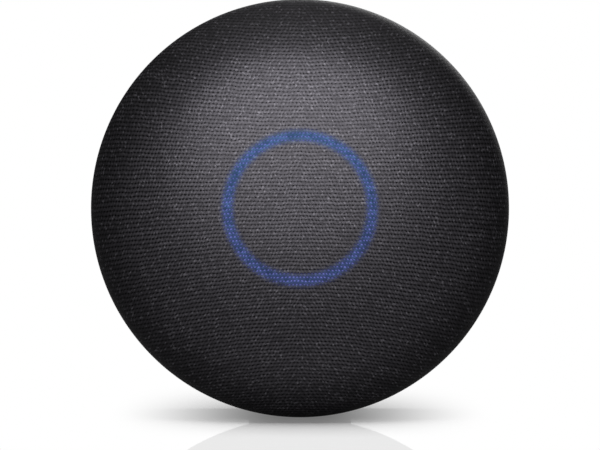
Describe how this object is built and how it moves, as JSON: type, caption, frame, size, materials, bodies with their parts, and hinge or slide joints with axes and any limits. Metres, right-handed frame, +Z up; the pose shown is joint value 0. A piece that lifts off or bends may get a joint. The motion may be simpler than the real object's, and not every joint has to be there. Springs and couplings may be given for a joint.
{
  "type": "smart speaker",
  "caption": "Disc-shaped smart speaker with a domed cloth front and a ring of light, standing on its rim and a folding back leg.",
  "frame": {"origin": "middle of the rubber foot's underside, on the surface that the speaker stands on", "axes": "+Z up, the cloth front faces -Y and leans back 8 degrees, +X to the viewer's right, +Y to the leg behind"},
  "size_m": [0.16, 0.0946, 0.1594],
  "materials": {
    "cloth": "woven",
    "black_plastic": "moulded",
    "grey_plastic": "fine texture",
    "key_plastic": "smooth",
    "diffuser": "translucent",
    "white_plastic": "moulded",
    "board": "solder mask",
    "led": "lens",
    "steel": "zinc plated",
    "dark_steel": "painted",
    "soft_rubber": "matte",
    "ferrite": "ground",
    "spider_cloth": "resin coated",
    "cone_paper": "pressed pulp",
    "copper": "wound wire",
    "lead_sleeve": "smooth",
    "weight": "turned",
    "pad": "soft",
    "spreader": "anodised",
    "chip": "moulded",
    "capacitor": "sleeved",
    "ribbon": "flexible",
    "antenna": "etched"
  },
  "bodies": {
    "housing": {"cloth_skin": "cloth", "front_grille": "black_plastic", "skin_retainer": "grey_plastic", "light_diffuser": "diffuser", "light_box": "white_plastic", "led_board": "board", "leds": "led", "led_board_screws": "steel", "mic_boards": "board", "mic_boots": "soft_rubber", "baffle": "black_plastic", "grille_screws": "steel", "driver_gasket": "soft_rubber", "driver_basket": "dark_steel", "driver_screws": "steel", "driver_top_plate": "steel", "driver_magnet": "ferrite", "driver_yoke": "steel", "driver_surround": "soft_rubber", "driver_spider": "spider_cloth", "driver_terminals": "copper", "speaker_leads": "lead_sleeve", "radiator_frames": "black_plastic", "left_radiator_surround": "soft_rubber", "right_radiator_surround": "soft_rubber", "baffle_gasket": "soft_rubber", "rear_shell": "grey_plastic", "shell_screws": "steel", "main_board": "board", "board_screws": "steel", "shield_can": "steel", "thermal_pad": "pad", "heat_spreader": "spreader", "amplifier_chip": "chip", "inductors": "ferrite", "capacitors": "capacitor", "radio_module": "steel", "antennas": "antenna", "ribbon_cable": "ribbon", "power_inlet": "steel", "inlet_tongue": "chip", "button_board": "board", "tact_switches": "steel", "mic_switch_body": "steel", "rim_foot": "soft_rubber", "hinge_pin": "steel", "hinge_washers": "white_plastic"},
    "leg": {"stand_leg": "grey_plastic", "stand_toe": "soft_rubber"},
    "volume_up": {"volume_up_key": "key_plastic"},
    "volume_down": {"volume_down_key": "key_plastic"},
    "action": {"action_key": "key_plastic"},
    "mic_slider": {"mic_switch_knob": "key_plastic"},
    "cone": {"driver_cone": "cone_paper", "dust_cap": "cone_paper", "voice_coil": "copper"},
    "left_radiator": {"left_radiator_plate": "weight"},
    "right_radiator": {"right_radiator_plate": "weight"}
  },
  "joints": [
    {"name": "leg_fold", "type": "hinge", "parent": "housing", "child": "leg", "pos_m": [0, 0.01566, 0.03113], "axis": [1, 0, 0], "range_deg": [0, 111.16]},
    {"name": "volume_up_press", "type": "slide", "parent": "housing", "child": "volume_up", "axis": [0, -0.1392, -0.9903], "range_m": [0, 0.0006], "stiffness_N_per_m": 300, "springref_m": -0.001},
    {"name": "volume_down_press", "type": "slide", "parent": "housing", "child": "volume_down", "axis": [0, -0.1392, -0.9903], "range_m": [0, 0.0006], "stiffness_N_per_m": 300, "springref_m": -0.001},
    {"name": "action_press", "type": "slide", "parent": "housing", "child": "action", "axis": [0, -0.1392, -0.9903], "range_m": [0, 0.0006], "stiffness_N_per_m": 300, "springref_m": -0.001},
    {"name": "mic_switch_slide", "type": "slide", "parent": "housing", "child": "mic_slider", "axis": [1, 0, 0], "range_m": [0, 0.0024]},
    {"name": "cone_travel", "type": "slide", "parent": "housing", "child": "cone", "axis": [0, -0.9903, 0.1392], "range_m": [-0.0025, 0.0025], "stiffness_N_per_m": 600, "deforming": ["driver_surround", "driver_spider"]},
    {"name": "left_radiator_travel", "type": "slide", "parent": "housing", "child": "left_radiator", "axis": [0, -0.9903, 0.1392], "range_m": [-0.0025, 0.0025], "stiffness_N_per_m": 400, "deforming": ["left_radiator_surround"]},
    {"name": "right_radiator_travel", "type": "slide", "parent": "housing", "child": "right_radiator", "axis": [0, -0.9903, 0.1392], "range_m": [-0.0025, 0.0025], "stiffness_N_per_m": 400, "deforming": ["right_radiator_surround"]}
  ]
}
